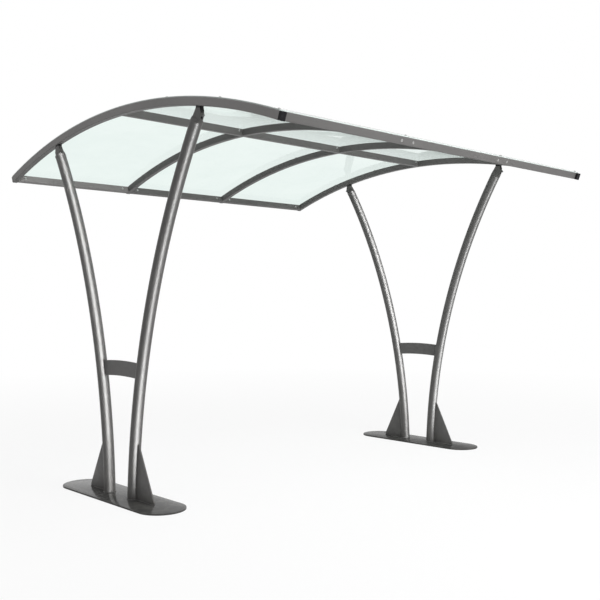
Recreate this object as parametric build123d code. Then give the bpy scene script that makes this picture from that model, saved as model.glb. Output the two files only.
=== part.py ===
"""Free-standing bike shelter: a clear curved roof on four ribs, carried by two pairs of curved columns.

The frame has its origin on the floor under the middle of the roof. +X runs along the shelter,
-Y is the front, with the long outer rail, and +Z is up. Sizes are in millimetres and degrees.
"""

import os
from math import asin, cos, degrees, radians, sin

from build123d import *

# Roof frame
bay_length = 1036.0
bay_count = 3
bar_width = 40.0
bar_depth = 50.0
bar_wall = 3.0
bar_corner = 3.5
roof_radius = 4560.0
crown_height = 2551.0
front_reach = 1566.0
back_reach = 1590.0

# Plastic caps in the open rib ends
front_cap_thickness = 17.0
back_cap_thickness = 4.0
cap_plug_length = 22.0
cap_plug_gap = 0.3

# Clear roof sheets
sheet_thickness = 5.0
sheet_seat_gap = 0.3
sheet_joint_gap = 4.0
sheet_edge_margin = 5.0

# Columns
tube_diameter = 76.1
tube_wall = 3.2
column_foot_reach = 143.5
column_foot_lean = 2.0
weld_gap = 0.2

# Column heads
head_reach = 856.0
head_rise = 72.0
head_setback = 28.0
head_thickness = 28.0
head_foot_width = 70.0
head_shoulder = 20.0
head_corner_reach = 9.0
head_corner_drop = 38.0
neck_length = 39.0

# Pads between the heads and the ribs
pad_thickness = 12.0
pad_lip_thickness = 2.5
pad_lip_drop = 22.0
pad_seat_gap = 0.1

# Base plates and gussets
base_length = 1230.0
base_width = 330.0
base_thickness = 10.0
base_corner = 120.0
gusset_thickness = 10.0
gusset_height = 340.0
gusset_foot_reach = 380.0
gusset_foot_height = 50.0

# Tie plates between the columns of a pair
tie_thickness = 10.0
tie_depth = 100.0
tie_crown_height = 892.0
tie_radius = 2550.0

# Places worked out from the sizes above
rib_count = bay_count + 1
rib_places = [(i - bay_count / 2) * bay_length for i in range(rib_count)]
end_place = rib_places[-1]
roof_axis = Axis((0, 0, crown_height - roof_radius), (1, 0, 0))
front_angle = degrees(asin(front_reach / roof_radius))
back_angle = degrees(asin(back_reach / roof_radius))
bar_half_angle = degrees(bar_width / 2 / roof_radius)
under_radius = roof_radius - bar_depth
tube_radius = tube_diameter / 2

# The column's axis is one arc. It leaves the foot at its lean and arrives under the head.
head_lean = asin(head_reach / under_radius)
neck_radius = under_radius - pad_thickness - pad_seat_gap
neck_reach = neck_radius * sin(head_lean)
neck_height = crown_height - roof_radius + neck_radius * cos(head_lean)
foot_lean = radians(column_foot_lean)
column_rise = neck_height - head_rise - base_thickness
column_run = neck_reach - head_setback - column_foot_reach
column_bend_radius = (column_run**2 + column_rise**2) / (
    2 * (column_run * cos(foot_lean) - column_rise * sin(foot_lean))
)


def roof_turn(shape, angle):
    """Turns a shape made at the crown by an angle about the roof's axis, positive towards the back."""
    return shape.rotate(roof_axis, -angle)


def roof_sweep(section, start, end):
    """Sweeps a section drawn at the crown round the roof's axis, from one angle to the other."""
    first = roof_turn(section, max(start, end))
    return revolve(first, axis=roof_axis, revolution_arc=abs(end - start))


def crown_plane(place, depth):
    """A plane across the roof at the crown, for outlines that are swept along a rib."""
    return Plane(origin=(place, 0, crown_height - depth), x_dir=(1, 0, 0), z_dir=(0, -1, 0))


def bar_outline(width=bar_width, depth=bar_depth):
    """The outside of the roof bars, with the small flats that their rolled corners come to."""
    outline = Rectangle(width, depth)
    return chamfer(outline.vertices(), bar_corner)


def bar_face(place=0.0):
    """The outline of a rib at the crown."""
    return crown_plane(place, bar_depth / 2) * bar_outline()


def hollow_bar_face(place=0.0):
    """The rectangular hollow section that the ribs are rolled from, at the crown."""
    bore = Rectangle(bar_width - 2 * bar_wall, bar_depth - 2 * bar_wall)
    return bar_face(place) - crown_plane(place, bar_depth / 2) * bore


def straight_bar(low, high):
    """A straight length of the same section along X, at the crown."""
    plane = Plane(origin=(low, 0, crown_height - bar_depth / 2), x_dir=(0, 1, 0), z_dir=(1, 0, 0))
    bore = Rectangle(bar_width - 2 * bar_wall, bar_depth - 2 * bar_wall)
    return extrude(plane * (bar_outline() - bore), high - low)


def make_ribs():
    """Four rolled ribs. The end ribs show their front ends, and the others stop at the front rail."""
    rail_space = roof_turn(plain_block(-end_place, end_place), bar_half_angle - front_angle)
    ribs = {}
    for number, place in enumerate(rib_places, 1):
        rib = roof_sweep(hollow_bar_face(place), -front_angle, back_angle)
        if abs(place) < end_place:
            rib = rib - rail_space
        ribs[f"rib_{number}"] = rib
    return ribs


def plain_block(low, high):
    """The room that a straight bar at the crown takes, with square corners and some spare outside."""
    middle = ((low + high) / 2, -bar_width / 2, crown_height - bar_depth / 2)
    return Pos(*middle) * Box(high - low, 2 * bar_width, 2 * bar_depth)


def make_rails():
    """The front rail is one length. The ridge and back rails are short lengths between the ribs."""
    rails = {}
    clear = bar_width / 2
    front = straight_bar(clear - end_place, end_place - clear)
    rails["front_rail"] = roof_turn(front, bar_half_angle - front_angle)
    for number in range(1, bay_count + 1):
        low = rib_places[number - 1] + clear
        high = rib_places[number] - clear
        rails[f"ridge_rail_{number}"] = straight_bar(low, high)
        back = straight_bar(low, high)
        rails[f"back_rail_{number}"] = roof_turn(back, back_angle - bar_half_angle)
    return rails


def rib_cap(place, end_angle, thickness):
    """A cap with a plug that fills the open end of a rib."""
    outward = 1 if end_angle > 0 else -1
    flange_angle = degrees(thickness / roof_radius) * outward
    plug_angle = degrees(cap_plug_length / roof_radius) * outward
    inset = bar_wall + cap_plug_gap
    plug_outline = Rectangle(bar_width - 2 * inset, bar_depth - 2 * inset)
    flange = roof_sweep(bar_face(place), end_angle, end_angle + flange_angle)
    plug_face = crown_plane(place, bar_depth / 2) * plug_outline
    plug = roof_sweep(plug_face, end_angle - plug_angle, end_angle + flange_angle / 2)
    return flange + plug


def make_caps():
    """Thick caps on the front ends of the end ribs, and thin ones on all the back ends."""
    caps = {}
    caps["front_cap_left"] = rib_cap(-end_place, -front_angle, front_cap_thickness)
    caps["front_cap_right"] = rib_cap(end_place, -front_angle, front_cap_thickness)
    for number, place in enumerate(rib_places, 1):
        caps[f"back_cap_{number}"] = rib_cap(place, back_angle, back_cap_thickness)
    return caps


def make_sheets():
    """One curved clear sheet a bay, lying on the ribs and rails."""
    sheets = {}
    margin_angle = degrees(sheet_edge_margin / roof_radius)
    end_margin = bar_width / 2 - sheet_edge_margin
    for number in range(1, bay_count + 1):
        low = rib_places[number - 1] + sheet_joint_gap / 2
        high = rib_places[number] - sheet_joint_gap / 2
        if number == 1:
            low = -end_place - end_margin
        if number == bay_count:
            high = end_place + end_margin
        lift = sheet_seat_gap + sheet_thickness / 2
        section = crown_plane((low + high) / 2, -lift) * Rectangle(high - low, sheet_thickness)
        sheet = roof_sweep(section, margin_angle - front_angle, back_angle - margin_angle)
        sheets[f"roof_sheet_{number}"] = sheet
    return sheets


def column_point(height):
    """Distance from the middle and lean of the column's axis, at a height."""
    lean = asin(sin(foot_lean) + (height - base_thickness) / column_bend_radius)
    return column_foot_reach + column_bend_radius * (cos(foot_lean) - cos(lean)), lean


def column_solid(radius, height, place):
    """A solid round bar along the back column's axis, cut square at a height and level at the base plate."""
    centre_y = column_foot_reach + column_bend_radius * cos(foot_lean)
    centre_z = base_thickness - column_bend_radius * sin(foot_lean)
    axis = Axis((place, centre_y, centre_z), (1, 0, 0))
    plane = Plane(origin=(place, centre_y - column_bend_radius, centre_z), z_dir=(0, 0, 1))
    _, lean = column_point(height)
    bar = revolve(plane * Circle(radius), axis=axis, revolution_arc=-degrees(lean))
    return split(bar, Plane(origin=(0, 0, base_thickness)), keep=Keep.TOP)


def column_cutter(height, place):
    """The room that a back column takes up to a height, for plates that fit round it."""
    return column_solid(tube_radius + weld_gap, height, place)


def make_column(place):
    """The curved round tube of a back column."""
    height = base_thickness + column_rise
    return column_solid(tube_radius, height, place) - column_solid(tube_radius - tube_wall, height, place)


def side_plate(points, thickness, place):
    """A plate across X with an outline in Y and Z."""
    plane = Plane(origin=(place - thickness / 2, 0, 0), x_dir=(0, 1, 0), z_dir=(1, 0, 0))
    return extrude(plane * make_face(Polyline(*points, close=True)), thickness)


def head_corner_points():
    """The neck's two ends and the outer corner below them, in Y and Z."""
    across = Vector(cos(head_lean), -sin(head_lean)) * (neck_length / 2)
    middle = Vector(neck_reach, neck_height)
    inner = middle - across
    outer = middle + across
    corner = outer + Vector(head_corner_reach, -head_corner_drop)
    return inner, outer, corner


def make_head(place):
    """The closed head on a column: a chisel shoulder on the tube under a thick plate, plumb outside."""
    height = base_thickness + column_rise
    reach, lean = column_point(height)
    foot = Plane(origin=(place, reach, height), x_dir=(1, 0, 0), z_dir=(0, sin(lean), cos(lean)))
    shoulder = extrude(foot * Circle(tube_radius), head_shoulder)
    taper = Vector(tube_radius - head_thickness / 2, 0, head_shoulder)
    for side in (1, -1):
        start = foot.from_local_coords(Vector(side * tube_radius, 0, 0))
        facing = foot.from_local_coords(Vector(side * taper.Z, 0, taper.X)) - foot.origin
        shoulder = split(shoulder, Plane(origin=start, z_dir=facing), keep=Keep.BOTTOM)
    top = Vector(reach, height) + Vector(sin(lean), cos(lean)) * head_shoulder
    across = Vector(cos(lean), -sin(lean)) * (head_foot_width / 2)
    inner, outer, corner = head_corner_points()
    outline = [top - across, inner, outer, corner, top + across]
    return shoulder + side_plate([(p.X, p.Y) for p in outline], head_thickness, place)


def make_pad(place):
    """The black pad between a head and the rib over it, with a thin lip down the head's outer side."""
    inner, outer, corner = head_corner_points()
    outward = Vector(outer.Y - corner.Y, corner.X - outer.X).normalized()
    down = (corner - outer).normalized()
    lip_top = outer + outward * pad_seat_gap - down * (pad_thickness / 2)
    lip_end = outer + outward * pad_seat_gap + down * pad_lip_drop
    lip = [lip_top, lip_end, lip_end + outward * pad_lip_thickness, lip_top + outward * pad_lip_thickness]
    slab_face = crown_plane(place, bar_depth + pad_thickness / 2) * Rectangle(head_thickness, pad_thickness)
    inner_angle = degrees(asin(inner.X / under_radius))
    outer_angle = degrees(asin((outer.X + pad_lip_thickness) / under_radius))
    slab = roof_sweep(slab_face, inner_angle, outer_angle)
    return slab + side_plate([(p.X, p.Y) for p in lip], head_thickness, place)


def make_gusset(place):
    """The triangular plate on the outer side of a column's foot."""
    top_reach, _ = column_point(gusset_height)
    outline = [
        (column_foot_reach, base_thickness),
        (gusset_foot_reach, base_thickness),
        (gusset_foot_reach, base_thickness + gusset_foot_height),
        (top_reach + tube_radius, gusset_height),
        (top_reach, gusset_height),
    ]
    return side_plate(outline, gusset_thickness, place) - column_cutter(2 * gusset_height, place)


def make_tie(place):
    """The arched plate between the two columns of a pair."""
    centre = (place - tie_thickness / 2, 0, tie_crown_height - tie_radius)
    plane = Plane(origin=centre, x_dir=(0, 1, 0), z_dir=(1, 0, 0))
    ring = Circle(tie_radius) - Circle(tie_radius - tie_depth)
    reach, _ = column_point(tie_crown_height - tie_depth)
    window = Pos(place, 0, tie_crown_height) * Box(2 * tie_thickness, 2 * reach, 3 * tie_depth)
    cutter = column_cutter(2 * tie_crown_height, place)
    return (extrude(plane * ring, tie_thickness) & window) - cutter - mirror(cutter, about=Plane.XZ)


def make_base(place):
    """The rounded plate on the floor under a pair of columns."""
    plate = extrude(RectangleRounded(base_width, base_length, base_corner), base_thickness)
    return Pos(place, 0, 0) * plate


def make_supports():
    """Both column pairs with their plates. The front pieces mirror the back ones."""
    pieces = {}
    for side, place in (("left", -end_place), ("right", end_place)):
        pieces[f"base_plate_{side}"] = make_base(place)
        pieces[f"tie_{side}"] = make_tie(place)
        for name, maker in (
            ("column", make_column),
            ("gusset", make_gusset),
            ("head", make_head),
            ("pad", make_pad),
        ):
            piece = maker(place)
            pieces[f"{name}_{side}_back"] = piece
            pieces[f"{name}_{side}_front"] = mirror(piece, about=Plane.XZ)
    return pieces


def build():
    """All the pieces by name."""
    pieces = {}
    for maker in (make_ribs, make_rails, make_caps, make_sheets, make_supports):
        pieces.update(maker())
    return pieces


os.makedirs("parts", exist_ok=True)
for piece_name, piece_shape in build().items():
    export_step(piece_shape, f"parts/{piece_name}.step")
    print(piece_name, round(piece_shape.volume), len(piece_shape.solids()))
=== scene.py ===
"""Looks for a free-standing bike shelter: paint, clear sheets, fixings, weld beads and a plain studio.

Every length is in metres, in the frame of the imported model: +X along the shelter, -Y its front, +Z up.
"""

from math import asin, cos, pi, radians, sin, tau

import bmesh
import bpy
from mathutils import Matrix, Vector


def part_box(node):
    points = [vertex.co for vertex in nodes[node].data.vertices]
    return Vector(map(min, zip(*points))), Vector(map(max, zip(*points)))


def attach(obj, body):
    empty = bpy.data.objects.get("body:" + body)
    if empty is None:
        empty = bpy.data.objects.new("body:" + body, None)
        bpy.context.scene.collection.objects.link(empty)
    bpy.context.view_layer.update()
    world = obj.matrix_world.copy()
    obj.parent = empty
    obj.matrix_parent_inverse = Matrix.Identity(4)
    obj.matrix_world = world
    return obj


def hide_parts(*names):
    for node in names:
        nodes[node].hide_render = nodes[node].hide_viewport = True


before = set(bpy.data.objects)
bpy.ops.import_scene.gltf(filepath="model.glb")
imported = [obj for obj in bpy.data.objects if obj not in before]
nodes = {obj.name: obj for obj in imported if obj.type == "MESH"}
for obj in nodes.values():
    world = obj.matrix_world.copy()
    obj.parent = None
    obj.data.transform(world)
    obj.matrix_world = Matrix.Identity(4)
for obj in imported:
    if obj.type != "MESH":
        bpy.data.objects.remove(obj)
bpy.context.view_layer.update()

# Camera of the photograph
camera_place = (-4.467, -4.755, 1.3015)
camera_turn = (89.87, 0.0, -43.63)
camera_lens = 49.86
camera_sensor = 36.0

# Roof
roof_radius = 4.56
crown_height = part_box("rib_1")[1].z
rib_x = [(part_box(f"rib_{number}")[0].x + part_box(f"rib_{number}")[1].x) / 2 for number in range(1, 5)]
bar_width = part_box("rib_1")[1].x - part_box("rib_1")[0].x
bar_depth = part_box("ridge_rail_1")[1].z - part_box("ridge_rail_1")[0].z
sheet_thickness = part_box("roof_sheet_2")[1].z - crown_height
bay_length = rib_x[1] - rib_x[0]
front_reach = 1.566
back_reach = 1.59
front_angle = -asin(front_reach / roof_radius)
back_angle = asin(back_reach / roof_radius)

# Fixings: their sizes, and their distances from a rib's middle, under the crown or along the roof
screw_radius = 0.007
front_screw_height = 0.0055
inner_screw_height = 0.005
front_bolt_offset = 0.054
back_bolt_offset = 0.075
ridge_bolt_offset = 0.05
ridge_bolt_depth = 0.015
rib_screw_reaches = (0.522, 1.044, 1.54)
roof_screw_radius = 0.008
roof_screw_height = 0.007
nut_setback = 0.006
nut_drop = 0.013

# Supports
end_x = rib_x[-1]
base_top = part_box("base_plate_left")[1].z
base_half_length = 0.612
base_half_width = 0.159
base_edge_round = 0.0015
tube_radius = (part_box("column_left_back")[1].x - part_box("column_left_back")[0].x) / 2
column_foot_reach = 0.1435
column_foot_lean = radians(2.0)
column_bend_radius = 4.893
head_edge_drop = 0.0175
column_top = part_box("head_left_back")[0].z + head_edge_drop
gusset_half_thickness = (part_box("gusset_left_back")[1].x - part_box("gusset_left_back")[0].x) / 2
gusset_top = 0.368
gusset_foot = 0.02
gusset_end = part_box("gusset_left_back")[1].y
tie_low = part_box("tie_left")[0].z + 0.001
tie_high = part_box("tie_left")[1].z - 0.004
head_outer_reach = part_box("head_left_back")[1].y
pad_lip_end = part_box("pad_left_back")[0].z
# Height of the near-black domes that paint the dark shade spot on each head
shade_spot_height = column_top + 0.009

# Each column's name, its place along X and the way that it leans along Y
supports = [
    ("left_front", -end_x, -1),
    ("left_back", -end_x, 1),
    ("right_front", end_x, -1),
    ("right_back", end_x, 1),
]

# Each pair's name and its place along X
pairs = (("left", -end_x), ("right", end_x))

# Weld beads
bead_radius = 0.0032
neck_bead_radius = 0.0022
bead_step = 0.0015
bead_sink = 0.0008
ripple_length = 0.006

# Sizes of surface detail, in features a metre
drift_scale = 2.3
film_scale = 3.0
wave_scale = 4.0
patch_scale = 14.0
scuff_scale = 40.0
rub_scale = 55.0
grime_scale = 120.0
peel_scale = 380.0
scratch_scale = 700.0
speck_scale = 900.0

# Dust on the supports, up to a height over the floor
dust_height = 0.45
dust_colour = (0.2, 0.19, 0.17)

# Even light from all round, where 1 is white
world_light = 0.3

# Soft boxes that light everything: place, target, width, height and radiance, where 1 is white
shelter_middle = (0.0, 0.0, 1.2)
scrim = ((-0.1, -5.0, 3.5), (0.0, 0.6, 0.3), 3.2, 8.6, 4.3)
left_box = ((-8.0, -2.5, 6.5), shelter_middle, 4.0, 4.0, 2.0)
back_box = ((2.5, 8.0, 4.0), shelter_middle, 4.0, 4.0, 2.0)
right_box = ((8.0, 1.0, 3.5), shelter_middle, 4.0, 4.0, 2.0)

# Soft boxes for one piece each
near_box = ((-8.0, -2.5, 3.5), shelter_middle, 4.0, 4.0, 5.2)
low_box = ((-3.5, -2.0, 1.8), (-1.2, 1.55, 2.26), 2.0, 2.0, 23.0)

# Strip lights: the column that each shows in, its low and high end, what it faces, its width and radiance
left_back_aim = (-1.55, 0.5, 1.2)
right_back_aim = (1.55, 0.5, 1.2)
left_front_aim = (-1.8, -2.2, 1.0)
right_front_aim = (1.8, -2.3, 1.0)
strips = [
    ("left_back", (-2.3, -3.1, 0.0), (-3.24, -2.29, 10.33), left_back_aim, 3.0, 38.0),
    ("left_back", (-2.88, -2.6, 6.4), (-3.24, -2.29, 10.33), left_back_aim, 4.0, 22.0),
    ("right_back", (1.25, -3.1, 0.0), (0.8, -2.33, 8.96), right_back_aim, 3.0, 36.0),
    ("right_back", (0.94, -2.54, 5.6), (0.74, -2.22, 9.4), right_back_aim, 4.5, 14.0),
    ("left_front", (-1.6, -0.6, 0.01), (-2.05, -3.8, 0.01), left_front_aim, 1.1, 39.0),
    ("left_front", (-2.0, -2.8, 0.01), (-2.12, -3.9, 0.01), left_front_aim, 2.2, 25.0),
    ("right_front", (1.65, -0.6, 0.01), (1.95, -4.2, 0.01), right_front_aim, 1.3, 36.0),
]

# Floor: half its side, its grey, and how white it is seen at two distances from the middle
floor_half = 150.0
floor_grey = (0.82, 0.82, 0.82, 1.0)
floor_fade = (2.0, 9.0)
floor_white = (0.87, 1.0)


def node(tree, kind, **settings):
    """Adds a shader node, with its properties set by name."""
    made = tree.nodes.new(kind)
    for name, value in settings.items():
        setattr(made, name, value)
    return made


def new_material(name):
    """An empty material with its Principled shader, and the object's own coordinates in metres."""
    material = bpy.data.materials.new(name)
    material.use_nodes = True
    tree = material.node_tree
    shader = tree.nodes["Principled BSDF"]
    place = node(tree, "ShaderNodeTexCoord").outputs["Object"]
    return material, tree, shader, place


def noise(tree, place, scale, detail=4.0, roughness=0.5, stretch=None):
    """Noise of a size in features a metre, stretched along an axis if asked."""
    if stretch:
        mapping = node(tree, "ShaderNodeMapping")
        mapping.inputs["Scale"].default_value = stretch
        tree.links.new(place, mapping.inputs["Vector"])
        place = mapping.outputs["Vector"]
    made = node(tree, "ShaderNodeTexNoise")
    made.inputs["Scale"].default_value = scale
    made.inputs["Detail"].default_value = detail
    made.inputs["Roughness"].default_value = roughness
    tree.links.new(place, made.inputs["Vector"])
    return made.outputs["Fac"]


def spread(tree, value, low, high, to_low, to_high):
    """Maps a value's range to another, clamped."""
    made = node(tree, "ShaderNodeMapRange", clamp=True)
    for name, number in zip(("From Min", "From Max", "To Min", "To Max"), (low, high, to_low, to_high)):
        made.inputs[name].default_value = number
    tree.links.new(value, made.inputs["Value"])
    return made.outputs["Result"]


def mix_colour(tree, factor, first, second):
    """Mixes two colours by a factor socket. Each colour is a socket or a plain RGB."""
    made = node(tree, "ShaderNodeMix", data_type="RGBA")
    tree.links.new(factor, made.inputs[0])
    for socket, colour in ((made.inputs[6], first), (made.inputs[7], second)):
        if isinstance(colour, bpy.types.NodeSocket):
            tree.links.new(colour, socket)
        else:
            socket.default_value = (*colour, 1.0)
    return made.outputs[2]


def add_bump(tree, shader, layers):
    """Chains bumps, each a height socket with a depth in metres."""
    normal = None
    for height, depth in layers:
        bump = node(tree, "ShaderNodeBump")
        bump.inputs["Strength"].default_value = 1.0
        bump.inputs["Distance"].default_value = depth
        tree.links.new(height, bump.inputs["Height"])
        if normal:
            tree.links.new(normal, bump.inputs["Normal"])
        normal = bump.outputs["Normal"]
    tree.links.new(normal, shader.inputs["Normal"])


def painted_metal(name, colour, gloss, peel_depth=0.00003, specular=0.5):
    """Powder coat: fine orange peel, a slow drift of tone, a film of dust low down and small dull rubs."""
    material, tree, shader, place = new_material(name)
    drift = spread(tree, noise(tree, place, drift_scale, 3.0), 0.3, 0.7, 0.0, 1.0)
    darker = tuple(c * 0.9 for c in colour)
    lighter = tuple(c * 1.08 for c in colour)
    base = mix_colour(tree, drift, darker, lighter)
    fine = spread(tree, noise(tree, place, speck_scale, 2.0), 0.35, 0.65, 0.0, 1.0)
    brighter = tuple(c * 1.5 for c in colour)
    speck = mix_colour(tree, spread(tree, fine, 0.0, 1.0, 0.0, 0.22), base, brighter)
    split = node(tree, "ShaderNodeSeparateXYZ")
    tree.links.new(place, split.inputs[0])
    low_down = spread(tree, split.outputs["Z"], 0.0, dust_height, 1.0, 0.0)
    patches = spread(tree, noise(tree, place, patch_scale, 6.0, 0.6), 0.45, 0.75, 0.0, 1.0)
    dust = node(tree, "ShaderNodeMath", operation="MULTIPLY")
    tree.links.new(low_down, dust.inputs[0])
    tree.links.new(patches, dust.inputs[1])
    dusty = mix_colour(tree, spread(tree, dust.outputs[0], 0.0, 1.0, 0.0, 0.3), speck, dust_colour)
    tree.links.new(dusty, shader.inputs["Base Color"])
    rubs = noise(tree, place, rub_scale, 8.0, 0.65)
    roughness = spread(tree, rubs, 0.35, 0.75, gloss * 0.88, gloss * 1.25)
    tree.links.new(roughness, shader.inputs["Roughness"])
    shader.inputs["Specular IOR Level"].default_value = specular
    peel = noise(tree, place, peel_scale, 2.0)
    add_bump(tree, shader, [(peel, peel_depth), (rubs, peel_depth)])
    return material


def moulded_plastic(name, colour, roughness, grain_scale, grain_depth, specular):
    """Black plastic or rubber with a fine grain and scuffs."""
    scuff_depth = 0.00004
    material, tree, shader, place = new_material(name)
    grain = noise(tree, place, grain_scale, 3.0)
    scuffs = spread(tree, noise(tree, place, scuff_scale, 7.0, 0.65), 0.5, 0.8, 0.0, 1.0)
    paler = tuple(c * 2.2 + 0.01 for c in colour)
    tone = mix_colour(tree, spread(tree, scuffs, 0.0, 1.0, 0.0, 0.5), colour, paler)
    tree.links.new(tone, shader.inputs["Base Color"])
    gloss = spread(tree, grain, 0.3, 0.7, roughness - 0.08, roughness + 0.08)
    tree.links.new(gloss, shader.inputs["Roughness"])
    shader.inputs["Specular IOR Level"].default_value = specular
    add_bump(tree, shader, [(grain, grain_depth), (scuffs, scuff_depth)])
    return material


def bright_metal(name, colour):
    """Plated fixings: fine upright scratches and a little grime."""
    material, tree, shader, place = new_material(name)
    scratch_depth = 0.00003
    scratches = noise(tree, place, scratch_scale, 3.0, stretch=(1.0, 1.0, 0.15))
    grime = spread(tree, noise(tree, place, grime_scale, 5.0, 0.6), 0.45, 0.75, 0.0, 1.0)
    dirty = tuple(c * 0.5 for c in colour)
    tone = mix_colour(tree, spread(tree, grime, 0.0, 1.0, 0.0, 0.6), colour, dirty)
    tree.links.new(tone, shader.inputs["Base Color"])
    shader.inputs["Metallic"].default_value = 1.0
    tree.links.new(spread(tree, scratches, 0.3, 0.7, 0.2, 0.38), shader.inputs["Roughness"])
    add_bump(tree, shader, [(scratches, scratch_depth)])
    return material


def broad_face(tree, place):
    """One on a roof sheet's two broad faces and zero on its sawn edges."""
    across = node(tree, "ShaderNodeVectorMath", operation="MULTIPLY_ADD")
    tree.links.new(place, across.inputs[0])
    across.inputs[1].default_value = (0.0, 1.0, 1.0)
    across.inputs[2].default_value = (0.0, 0.0, roof_radius - crown_height)
    outward = node(tree, "ShaderNodeVectorMath", operation="NORMALIZE")
    tree.links.new(across.outputs["Vector"], outward.inputs[0])
    agree = node(tree, "ShaderNodeVectorMath", operation="DOT_PRODUCT")
    tree.links.new(outward.outputs["Vector"], agree.inputs[0])
    tree.links.new(node(tree, "ShaderNodeNewGeometry").outputs["Normal"], agree.inputs[1])
    size = node(tree, "ShaderNodeMath", operation="ABSOLUTE")
    tree.links.new(agree.outputs["Value"], size.inputs[0])
    return spread(tree, size.outputs[0], 0.4, 0.6, 0.0, 1.0)


def clear_sheet(name):
    """Clear polycarbonate, faintly green: slightly wavy, with a film of dust and pale sawn edges."""
    faint_ior = 1.055
    clean_tint = (0.85, 0.93, 0.9)
    filmed_tint = (0.82, 0.905, 0.875)
    sawn_colour = (0.6, 0.66, 0.64)
    shadow_tint = (0.78, 0.8, 0.79, 1.0)
    wave_depth = 0.0004
    material, tree, shader, place = new_material(name)
    film = spread(tree, noise(tree, place, film_scale, 6.0, 0.6), 0.35, 0.7, 0.0, 1.0)
    tint = mix_colour(tree, film, clean_tint, filmed_tint)
    broad = broad_face(tree, place)
    tree.links.new(mix_colour(tree, broad, sawn_colour, tint), shader.inputs["Base Color"])
    tree.links.new(broad, shader.inputs["Transmission Weight"])
    shader.inputs["IOR"].default_value = faint_ior
    tree.links.new(spread(tree, film, 0.0, 1.0, 0.01, 0.05), shader.inputs["Roughness"])
    add_bump(tree, shader, [(noise(tree, place, wave_scale, 1.0), wave_depth)])
    path = node(tree, "ShaderNodeLightPath")
    shade = node(tree, "ShaderNodeBsdfTransparent")
    shade.inputs["Color"].default_value = shadow_tint
    swap = node(tree, "ShaderNodeMixShader")
    tree.links.new(path.outputs["Is Shadow Ray"], swap.inputs[0])
    tree.links.new(shader.outputs[0], swap.inputs[1])
    tree.links.new(shade.outputs[0], swap.inputs[2])
    output = tree.nodes["Material Output"]
    tree.links.new(swap.outputs[0], output.inputs["Surface"])
    return material


# Paints. The frame is one paint. The columns, the plates and the floor plates take darker copies of the
# roof's grey as painted shade, and the right floor plate's copy also reflects less than the left one's, as
# painted shade.
roof_grey = (0.108, 0.105, 0.103)
shaded_column_grey = (0.072, 0.07, 0.068)
shaded_plate_grey = (0.082, 0.08, 0.078)
shaded_base_grey = (0.056, 0.055, 0.054)
made_materials = [
    painted_metal("roof_paint", roof_grey, 0.4, peel_depth=0.00003, specular=0.2),
    painted_metal("shaded_column_paint", shaded_column_grey, 0.42, peel_depth=0.000004, specular=0.32),
    painted_metal("shaded_plate_paint", shaded_plate_grey, 0.46),
    painted_metal("base_paint_left", shaded_base_grey, 0.17, peel_depth=0.000006, specular=0.1),
    painted_metal("base_paint_right", shaded_base_grey, 0.17, peel_depth=0.000006, specular=0.015),
    moulded_plastic("cap_plastic", (0.009, 0.009, 0.01), 0.5, 1400.0, 0.00005, 0.12),
    moulded_plastic("pad_rubber", (0.018, 0.018, 0.018), 0.62, 900.0, 0.00008, 0.22),
    bright_metal("fixing_metal", (0.55, 0.55, 0.54)),
    bright_metal("dark_metal", (0.16, 0.16, 0.155)),
    clear_sheet("clear_sheet"),
]
materials = {material.name: material for material in made_materials}

# The material of each node, by the start of its name
finishes = {
    "rib": "roof_paint",
    "front_rail": "roof_paint",
    "ridge_rail": "roof_paint",
    "back_rail": "roof_paint",
    "front_cap": "cap_plastic",
    "back_cap": "cap_plastic",
    "pad": "pad_rubber",
    "roof_sheet": "clear_sheet",
    "column": "shaded_column_paint",
    "head": "shaded_column_paint",
    "base_plate": "shaded_plate_paint",
    "gusset": "shaded_plate_paint",
    "tie": "shaded_plate_paint",
}


def column_axis(lean):
    """Reach and height of a column's axis where it has a lean."""
    reach = column_foot_reach + column_bend_radius * (cos(column_foot_lean) - cos(lean))
    height = base_top + column_bend_radius * (sin(lean) - sin(column_foot_lean))
    return reach, height


def column_point(height):
    """Reach and lean of a column's axis at a height."""
    lean = asin(sin(column_foot_lean) + (height - base_top) / column_bend_radius)
    reach, _ = column_axis(lean)
    return reach, lean


def roof_point(reach, lift=0.0):
    """A point over the ribs' top faces at a reach from the middle, with the way out of the roof there."""
    angle = asin(reach / roof_radius)
    up = Vector((0, sin(angle), cos(angle)))
    return Vector((0, 0, crown_height - roof_radius)) + up * (roof_radius + lift), up


def rail_face(angle, depth):
    """A point at an angle round the roof and a depth under its top, with the way to the front there."""
    up = Vector((0, sin(angle), cos(angle)))
    forward = Vector((0, -cos(angle), sin(angle)))
    return Vector((0, 0, crown_height - roof_radius)) + up * (roof_radius - depth), forward


def add_piece(name, shape, finish, angle=40.0):
    """Turns a bmesh into a smooth-shaded piece of the object."""
    mesh = bpy.data.meshes.new(name)
    bmesh.ops.recalc_face_normals(shape, faces=shape.faces)
    shape.to_mesh(mesh)
    shape.free()
    mesh.materials.append(materials[finish])
    mesh.shade_smooth()
    mesh.set_sharp_from_angle(angle=radians(angle))
    piece = bpy.data.objects.new(name, mesh)
    bpy.context.scene.collection.objects.link(piece)
    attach(piece, "root")
    return piece


def join_rings(shape, rings, closed=False):
    """Lays faces between rings of points, and closes the ends or joins the last ring to the first."""
    neighbours = list(zip(rings, rings[1:]))
    if closed:
        neighbours.append((rings[-1], rings[0]))
    for low, high in neighbours:
        for step in range(len(low)):
            after = (step + 1) % len(low)
            shape.faces.new((low[step], low[after], high[after], high[step]))
    if not closed:
        shape.faces.new(reversed(rings[0]))
        shape.faces.new(rings[-1])


def thicken_outline(shape, points, way):
    """Makes a plate of an outline, as thick as the way that it is drawn along."""
    outline = shape.faces.new([shape.verts.new(point) for point in points])
    made = bmesh.ops.extrude_face_region(shape, geom=[outline])["geom"]
    moved = [part for part in made if isinstance(part, bmesh.types.BMVert)]
    bmesh.ops.translate(shape, verts=moved, vec=way)


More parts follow.
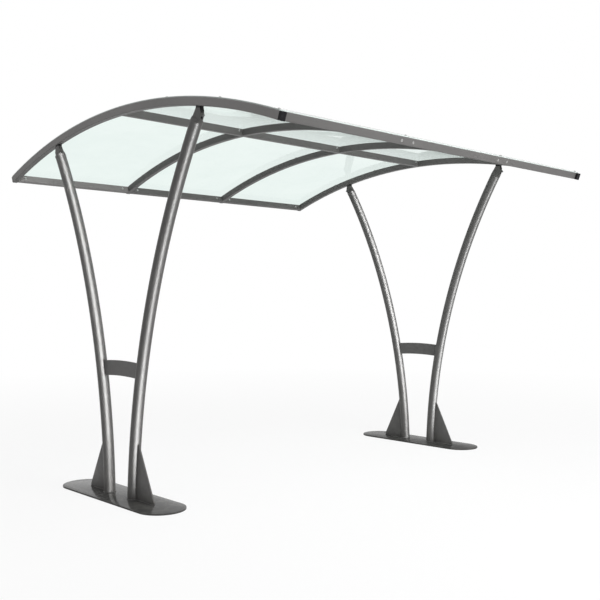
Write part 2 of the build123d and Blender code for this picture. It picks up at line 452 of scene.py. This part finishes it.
def turn_profile(shape, profile, place, direction, sides=20):
    """Turns a profile of radius and height about an axis and closes both ends."""
    out = Vector(direction).normalized()
    turn = out.to_track_quat("Z", "Y").to_matrix().to_4x4()
    frame_of_axis = Matrix.Translation(place) @ turn
    rings = []
    for radius, height in profile:
        steps = [tau * step / sides for step in range(sides)]
        ring = [frame_of_axis @ Vector((radius * cos(a), radius * sin(a), height)) for a in steps]
        rings.append([shape.verts.new(point) for point in ring])
    join_rings(shape, rings)


def button_head(shape, place, direction, radius, height, sunk=0.002):
    """A domed screw head with a round drive hole, on a thin washer."""
    washer = 0.0015
    profile = [(radius * 1.35, -sunk), (radius * 1.35, washer * 0.7), (radius * 1.28, washer)]
    dome = [radians(angle) for angle in range(0, 75, 12)]
    profile += [(radius * cos(a), washer + (height - washer) * sin(a)) for a in dome]
    profile += [(radius * 0.24, height), (radius * 0.2, height * 0.55), (0.0002, height * 0.5)]
    turn_profile(shape, profile, place, direction)


def nut_and_end(shape, place, direction):
    """A washer, a hexagon nut and the rounded end of its bolt."""
    washer_height = 0.0025
    washer = [(0.0125, -0.006), (0.0125, 0.0018), (0.012, washer_height)]
    nut = [(0.0098, 0.0), (0.0112, 0.0008), (0.0112, 0.0092), (0.0098, 0.01)]
    end = [(0.0058, 0.0), (0.006, 0.01), (0.006, 0.0195), (0.0052, 0.0212), (0.002, 0.0217)]
    out = Vector(direction).normalized()
    seat = Vector(place) + out * washer_height
    turn_profile(shape, washer, Vector(place), out)
    turn_profile(shape, nut, seat, out, sides=6)
    turn_profile(shape, end, seat, out)


def bead(shape, points, closed=False, radius=bead_radius):
    """A weld bead along a path: a round string with the even ripples that a torch leaves."""
    sides = 6
    ripple = 0.13
    drift = 0.07
    rings = []
    count = len(points)
    for number, point in enumerate(points):
        before = points[number - 1] if closed or number else point
        after = points[(number + 1) % count] if closed or number < count - 1 else point
        along = (after - before).normalized()
        across = along.orthogonal() if not rings else across - along * across.dot(along)
        across.normalize()
        up = along.cross(across)
        phase = number * bead_step / ripple_length
        swell = 1 + ripple * sin(tau * phase) + drift * sin(tau * phase * 0.137 + 1.0)
        steps = [tau * step / sides for step in range(sides)]
        ring = [point + (across * cos(a) + up * sin(a)) * radius * swell for a in steps]
        rings.append([shape.verts.new(spot) for spot in ring])
    join_rings(shape, rings, closed)


def line_points(start, end):
    """Evenly spaced points from one end of a line to the other."""
    start, end = Vector(start), Vector(end)
    count = max(2, round((end - start).length / bead_step))
    return [start.lerp(end, number / count) for number in range(count + 1)]


def ring_points(centre, axis, radius):
    """Evenly spaced points round a circle."""
    axis = Vector(axis).normalized()
    first = Vector((1, 0, 0))
    second = axis.cross(first)
    count = round(tau * radius / bead_step / 4) * 4
    steps = [tau * number / count for number in range(count)]
    return [Vector(centre) + (first * cos(a) + second * sin(a)) * radius for a in steps]


def make_base_plates():
    """Floor plates with full round ends and a soft top edge, in place of the plain ones."""
    arc_steps = 48
    straight = base_half_length - base_half_width
    for side, place in pairs:
        shape = bmesh.new()
        outline = []
        for end, start in ((1, 0.0), (-1, pi)):
            for step in range(arc_steps + 1):
                angle = start + pi * step / arc_steps
                y = end * straight + base_half_width * sin(angle)
                outline.append((place + base_half_width * cos(angle), y, 0.0))
        thicken_outline(shape, outline, (0, 0, base_top))
        shape.faces.ensure_lookup_table()
        top = max(shape.faces, key=lambda face: face.calc_center_median().z)
        rim = list(top.edges)
        bmesh.ops.bevel(shape, geom=rim, offset=base_edge_round, segments=3, profile=0.5, affect="EDGES")
        # Each floor plate takes its own darker copy of the frame paint as painted shade; the right one's
        # weaker reflection is painted shade too
        plate = add_piece(f"floor_plate_{side}", shape, f"base_paint_{side}", 30.0)
        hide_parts(f"base_plate_{side}")


def skin_reach(height, outward=1):
    """Reach of a column's outer or inner side at a height."""
    reach, lean = column_point(height)
    return reach + outward * tube_radius / cos(lean)


def make_tubes():
    """Column tubes with an even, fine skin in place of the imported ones, for straight highlights."""
    sides = 72
    count = 110
    overrun = 0.004
    _, low = column_point(base_top - overrun)
    _, high = column_point(column_top + overrun)
    for name, place, way in supports:
        shape = bmesh.new()
        rings = []
        for number in range(count + 1):
            lean = low + (high - low) * number / count
            reach, height = column_axis(lean)
            outward = Vector((0, way * cos(lean), -sin(lean))) * tube_radius
            middle = Vector((place, way * reach, height))
            steps = [tau * step / sides for step in range(sides)]
            ring = [middle + outward * cos(a) + Vector((tube_radius * sin(a), 0, 0)) for a in steps]
            rings.append([shape.verts.new(point) for point in ring])
        join_rings(shape, rings)
        tube = add_piece(f"tube_{name}", shape, "shaded_column_paint")
        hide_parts(f"column_{name}")


def make_gussets():
    """Gusset plates with broken edges that follow the columns, in place of the plain ones."""
    steps = 30
    tip_width = 0.003
    sink = 0.002
    edge_break = 0.0009
    for name, place, way in supports:
        shape = bmesh.new()
        outline = [(gusset_end, base_top), (gusset_end, base_top + gusset_foot)]
        outline.append((skin_reach(gusset_top) + tip_width, gusset_top))
        for step in range(steps + 1):
            height = gusset_top + (base_top - gusset_top) * step / steps
            outline.append((skin_reach(height) - sink, height))
        points = [(place - gusset_half_thickness, way * y, z) for y, z in outline]
        thicken_outline(shape, points, (2 * gusset_half_thickness, 0, 0))
        sharp = [edge for edge in shape.edges if edge.calc_face_angle(0) > 0.4]
        bmesh.ops.bevel(shape, geom=sharp, offset=edge_break, segments=2, profile=0.5, affect="EDGES")
        gusset = add_piece(f"foot_gusset_{name}", shape, "shaded_plate_paint", 30.0)
        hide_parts(f"gusset_{name}")


def skin_points(x, way, low, high, outward):
    """Evenly spaced points up a column's outer or inner side."""
    count = round((high - low) / bead_step)
    heights = [low + (high - low) * number / count for number in range(count + 1)]
    return [Vector((x, way * skin_reach(height, outward), height)) for height in heights]


def make_weld_beads():
    """Beads where the columns, gussets, ties and heads meet."""
    reach, lean = column_point(column_top)
    for side, place in pairs:
        shape = bmesh.new()
        for way in (-1, 1):
            foot = Vector((place, way * column_foot_reach, base_top + bead_sink))
            bead(shape, ring_points(foot, (0, 0, 1), tube_radius + bead_sink), closed=True)
            neck = (place, way * reach, column_top)
            slope = (0, way * sin(lean), cos(lean))
            neck_ring = ring_points(neck, slope, tube_radius - bead_sink)
            bead(shape, neck_ring, closed=True, radius=neck_bead_radius)
            for face in (-1, 1):
                x = place + face * (gusset_half_thickness + bead_sink)
                near = (x, way * (column_foot_reach + tube_radius), base_top + bead_sink)
                far = (x, way * gusset_end, base_top + bead_sink)
                bead(shape, line_points(near, far))
                bead(shape, skin_points(x, way, base_top, gusset_top, 1))
                bead(shape, skin_points(x, way, tie_low, tie_high, -1))
        add_piece(f"weld_beads_{side}", shape, "shaded_plate_paint", 75.0)


def make_rail_bolts():
    """Screw heads on the rails beside the ribs that they join."""
    front = bmesh.new()
    inner = bmesh.new()
    back_face_angle = back_angle - bar_width / roof_radius
    for number, place in enumerate(rib_x):
        for way in (-1, 1):
            if not 0 <= number + way < len(rib_x):
                continue
            if 0 < number < len(rib_x) - 1:
                spot, out = rail_face(front_angle, bar_depth / 2)
                spot.x = place + way * front_bolt_offset
                button_head(front, spot, out, screw_radius, front_screw_height)
            spot, out = rail_face(back_face_angle, bar_depth / 2)
            spot.x = place + way * back_bolt_offset
            button_head(inner, spot, out, screw_radius, inner_screw_height)
            x = place + way * ridge_bolt_offset
            for turned in (-1, 1):
                spot = (x, turned * bar_width / 2, crown_height - ridge_bolt_depth)
                button_head(inner, spot, (0, turned, 0), screw_radius, inner_screw_height)
    add_piece("front_rail_screws", front, "fixing_metal")
    add_piece("inner_rail_screws", inner, "fixing_metal")


def make_roof_screws():
    """Screws through the clear sheets: low heads on the ribs and flush ones along the ridge."""
    flush = [(0.0045, -sheet_thickness), (0.0045, -0.002), (0.009, -0.0002), (0.0088, 0.0)]
    flush += [(0.0022, 0.0), (0.0018, -0.0015), (0.0002, -0.0016)]
    shape = bmesh.new()
    for place in rib_x:
        for reach in rib_screw_reaches:
            for way in (-1, 1):
                spot, up = roof_point(way * reach, sheet_thickness + 0.0003)
                spot.x = place
                button_head(shape, spot, up, roof_screw_radius, roof_screw_height, sunk=sheet_thickness)
    for place in rib_x[:-1]:
        for third in (1, 2):
            x = place + bay_length * third / 3
            turn_profile(shape, flush, (x, 0, crown_height + sheet_thickness), (0, 0, 1))
    add_piece("roof_screws", shape, "fixing_metal")


def make_head_bolts():
    """A bolt end with its nut on each head, under the pad's lip, and below it a near-black dome: painted
    shade for the dark spot on the head.
    """
    dome = [(0.0075, -0.004), (0.0075, 0.001), (0.0069, 0.0018), (0.0042, 0.0026), (0.0002, 0.0028)]
    clear_of_head = 0.05
    nuts = bmesh.new()
    shade_spots = bmesh.new()
    _, lean = column_point(column_top)
    for name, place, way in supports:
        out = Vector((0, way * cos(lean), -sin(lean)))
        nut_and_end(nuts, (place, way * (head_outer_reach - nut_setback), pad_lip_end - nut_drop), out)
        start = Vector((place, way * head_outer_reach, shade_spot_height)) + out * clear_of_head
        _, skin, facing, _ = nodes[f"head_{name}"].ray_cast(start, -out)
        turn_profile(shade_spots, dome, skin, facing)
    add_piece("head_bolts", nuts, "dark_metal", 30.0)
    # The near-black domes are painted shade for the dark spot on each head
    add_piece("column_shade_spots", shade_spots, "cap_plastic")


def dress_nodes():
    """Gives each node its finish."""
    for name, piece in nodes.items():
        kind = next(start for start in finishes if name.startswith(start))
        for slot in piece.material_slots:
            slot.material = materials[finishes[kind]]


def seen_factor(tree):
    """One for rays from the camera, or mirrored by or passed through the object, and else zero."""
    path = node(tree, "ShaderNodeLightPath")
    total = path.outputs["Is Camera Ray"]
    for name in ("Is Glossy Ray", "Is Transmission Ray"):
        add = node(tree, "ShaderNodeMath", operation="MAXIMUM")
        tree.links.new(total, add.inputs[0])
        tree.links.new(path.outputs[name], add.inputs[1])
        total = add.outputs[0]
    return total


def make_floor():
    """A pale floor that fades to the white background with distance and keeps the object's shadow."""
    mesh = bpy.data.meshes.new("studio_floor")
    turns = ((-1, -1), (1, -1), (1, 1), (-1, 1))
    corners = [(x * floor_half, y * floor_half, 0) for x, y in turns]
    mesh.from_pydata(corners, [], [(0, 1, 2, 3)])
    floor = bpy.data.objects.new("studio_floor", mesh)
    bpy.context.scene.collection.objects.link(floor)
    material, tree, shader, place = new_material("studio_floor")
    tree.nodes.remove(shader)
    pale = node(tree, "ShaderNodeBsdfDiffuse")
    pale.inputs["Color"].default_value = floor_grey
    white = node(tree, "ShaderNodeEmission")
    reach = node(tree, "ShaderNodeVectorMath", operation="LENGTH")
    tree.links.new(place, reach.inputs[0])
    share = spread(tree, reach.outputs["Value"], *floor_fade, *floor_white)
    amount = node(tree, "ShaderNodeMath", operation="MULTIPLY")
    tree.links.new(seen_factor(tree), amount.inputs[0])
    tree.links.new(share, amount.inputs[1])
    mix = node(tree, "ShaderNodeMixShader")
    tree.links.new(amount.outputs[0], mix.inputs[0])
    tree.links.new(pale.outputs[0], mix.inputs[1])
    tree.links.new(white.outputs[0], mix.inputs[2])
    tree.links.new(mix.outputs[0], tree.nodes["Material Output"].inputs["Surface"])
    mesh.materials.append(material)


def make_world():
    """White where it is seen, and a softer even light on everything."""
    world = bpy.data.worlds.new("studio")
    world.use_nodes = True
    tree = world.node_tree
    dim = tree.nodes["Background"]
    dim.inputs["Color"].default_value = (1.0, 1.0, 1.0, 1.0)
    dim.inputs["Strength"].default_value = world_light
    seen = node(tree, "ShaderNodeBackground")
    seen.inputs["Strength"].default_value = 1.0
    seen.inputs["Color"].default_value = (1.0, 1.0, 1.0, 1.0)
    mix = node(tree, "ShaderNodeMixShader")
    tree.links.new(seen_factor(tree), mix.inputs[0])
    tree.links.new(dim.outputs[0], mix.inputs[1])
    tree.links.new(seen.outputs[0], mix.inputs[2])
    tree.links.new(mix.outputs[0], tree.nodes["World Output"].inputs["Surface"])
    bpy.context.scene.world = world


def make_lamp(name, place, target, width, height, radiance, gloss=False):
    """A soft box that shines at a target. Its radiance is in the render's own units, where 1 is white."""
    data = bpy.data.lights.new(name, "AREA")
    data.shape = "RECTANGLE"
    data.size = width
    data.size_y = height
    data.energy = radiance * pi * width * height
    lamp = bpy.data.objects.new(name, data)
    lamp.location = place
    lamp.rotation_euler = (Vector(target) - Vector(place)).to_track_quat("-Z", "Y").to_euler()
    lamp.visible_camera = False
    lamp.visible_transmission = False
    lamp.visible_glossy = gloss
    bpy.context.scene.collection.objects.link(lamp)
    return lamp


def light_only(lamp, name):
    """Keeps a lamp to one piece."""
    lit = bpy.data.collections.new(lamp.name)
    lit.objects.link(bpy.data.objects[name])
    lamp.light_linking.receiver_collection = lit


def make_strip(column, low_end, high_end, facing, width, radiance):
    """A strip light between two points, turned to face a third. It shows in one column's gloss."""
    run = Vector(high_end) - Vector(low_end)
    centre = (Vector(low_end) + Vector(high_end)) / 2
    lamp = make_lamp(f"strip_{column}", centre, facing, width, run.length, radiance, gloss=True)
    up = run.normalized()
    back = (centre - Vector(facing)).normalized()
    side = up.cross(back).normalized()
    lamp.rotation_euler = Matrix((side, up, side.cross(up))).transposed().to_euler()
    lamp.visible_diffuse = False
    light_only(lamp, f"tube_{column}")
    lamp.light_linking.blocker_collection = lamp.light_linking.receiver_collection


def make_camera():
    """The camera of the photograph."""
    data = bpy.data.cameras.new("camera")
    data.lens = camera_lens
    data.sensor_width = camera_sensor
    camera = bpy.data.objects.new("camera", data)
    camera.location = camera_place
    camera.rotation_euler = [radians(angle) for angle in camera_turn]
    bpy.context.scene.collection.objects.link(camera)
    bpy.context.scene.camera = camera


def make_studio():
    """Camera, floor, background, soft boxes and strip lights."""
    make_camera()
    make_floor()
    make_world()
    make_lamp("scrim", *scrim)
    make_lamp("left_box", *left_box)
    light_only(make_lamp("near_box", *near_box), "rib_1")
    light_only(make_lamp("low_box", *low_box), "back_rail_1")
    make_lamp("back_box", *back_box)
    make_lamp("right_box", *right_box)
    for strip in strips:
        make_strip(*strip)
    bpy.context.scene.view_settings.view_transform = "Standard"


dress_nodes()
make_tubes()
make_base_plates()
make_gussets()
make_weld_beads()
make_rail_bolts()
make_roof_screws()
make_head_bolts()
make_studio()
